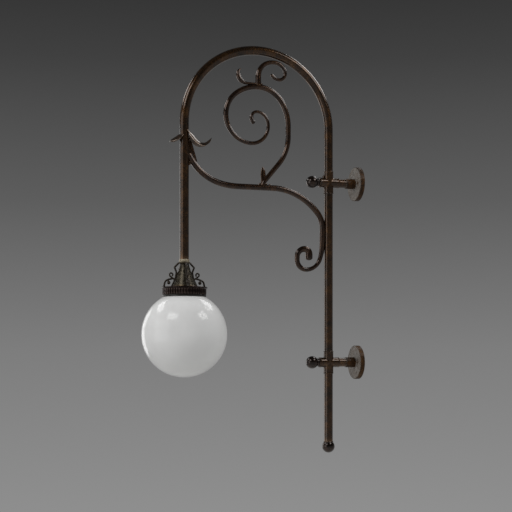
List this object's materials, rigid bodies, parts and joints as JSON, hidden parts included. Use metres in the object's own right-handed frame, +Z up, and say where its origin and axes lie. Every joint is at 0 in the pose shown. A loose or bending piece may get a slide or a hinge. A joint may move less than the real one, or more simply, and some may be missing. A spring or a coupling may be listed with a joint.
{
  "type": "swan-neck wall lantern",
  "caption": "Wall lantern: iron pipe post and swan neck on two round wall plates, scrollwork in the arch, bronze gallery, and an opal globe held by a screw ring",
  "frame": {"origin": "middle of the upper wall plate's back face, on the wall", "axes": "+Z up, +Y into the wall, the lantern stands out along -Y, and the bracket lies in the plane X = 0"},
  "size_m": [0.25, 0.6729, 1.2133],
  "materials": {
    "iron": "dark brown patinated iron, waxed, satin with bright edges",
    "casting": "cast iron with the same dark patina, rubbed grey on the flat faces",
    "bronze": "aged bronze, olive brown, satin",
    "brass": "aged brass, satin",
    "bulb_metal": "thin bright brass",
    "porcelain": "white glazed porcelain",
    "sheath": "matt black cable sheath",
    "core_brown": "brown insulation",
    "core_blue": "blue insulation",
    "core_green": "green and yellow insulation",
    "gasket": "black soft rubber",
    "opal_glass": "opal white glass, gloss",
    "bulb_glass": "frosted white bulb glass"
  },
  "bodies": {
    "bracket": {"upper_wall_plate": "casting", "lower_wall_plate": "casting", "upper_arm": "iron", "lower_arm": "iron", "upper_cross": "casting", "lower_cross": "casting", "upper_ball": "iron", "lower_ball": "iron", "foot_ball": "iron", "swan_neck": "iron", "middle_post": "iron", "lower_post": "iron", "long_scroll": "iron", "spiral_scroll": "iron", "crest_scroll": "iron", "crest_leaf": "iron", "thorn_leaf": "iron", "gusset": "iron", "front_leaf": "iron", "rear_leaf": "iron", "supply_cable": "sheath", "live_core": "core_brown", "neutral_core": "core_blue", "earth_core": "core_green", "terminal_block": "porcelain", "terminal_screws": "brass", "earth_screw": "brass", "pipe_plug": "brass", "hollow_nipple": "brass", "seat_collar": "brass", "nipple_locknut": "brass", "gallery_bell": "bronze", "front_rib": "bronze", "rear_rib": "bronze", "left_rib": "bronze", "right_rib": "bronze", "fluted_band": "bronze", "holder_cap": "brass", "holder_body": "porcelain", "screw_shell": "brass", "centre_contact": "brass", "globe_gasket": "gasket"},
    "globe": {"globe": "opal_glass"},
    "ring": {"retaining_ring": "bronze"},
    "bulb": {"bulb_cap": "bulb_metal", "bulb_glass": "bulb_glass"}
  },
  "joints": [
    {"name": "globe_drop", "type": "slide", "parent": "bracket", "child": "globe", "axis": [0, 0, -1], "range_m": [0, 0.014]},
    {"name": "ring_turn", "type": "hinge", "parent": "globe", "child": "ring", "pos_m": [0, -0.548, -0.345], "axis": [0, 0, -1], "range_deg": [0, 1260]},
    {"name": "bulb_unscrew", "type": "slide", "parent": "bracket", "child": "bulb", "axis": [0, 0, -1], "range_m": [0, 0.028]}
  ],
  "couplings": [
    {"joint": "globe_drop", "follows": "ring_turn", "m_per_rad": 0.00063662}
  ]
}
